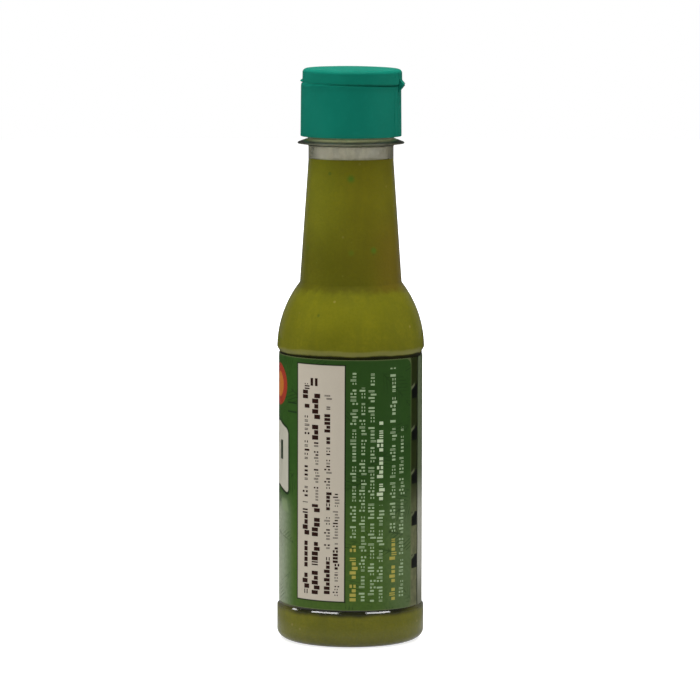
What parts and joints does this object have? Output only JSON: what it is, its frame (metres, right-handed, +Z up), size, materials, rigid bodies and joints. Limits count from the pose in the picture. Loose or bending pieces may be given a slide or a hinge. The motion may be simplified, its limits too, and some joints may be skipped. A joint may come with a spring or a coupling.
{
  "type": "hot sauce bottle",
  "caption": "Slim clear bottle of green hot sauce with a recessed wrap-round label, a long tapered neck and a shut flip-top cap.",
  "frame": {"origin": "centre of the foot, on the surface that the bottle stands on", "axes": "+Z up along the bottle's axis; +X towards the hinge of the flip-top lid; the ends of the label meet between +X and -Y"},
  "size_m": [0.0426, 0.0426, 0.1659],
  "materials": {
    "clear_bottle": "clear blown polyester, glossy",
    "green_sauce": "thick olive-green sauce, wet, with fine flecks",
    "printed_label": "printed film, satin, leaf green with a pale block",
    "teal_cap": "moulded polypropylene, satin, blue-green"
  },
  "bodies": {
    "root": {"bottle": "clear_bottle", "sauce": "green_sauce", "label": "printed_label", "cap": "teal_cap"}
  },
  "joints": []
}
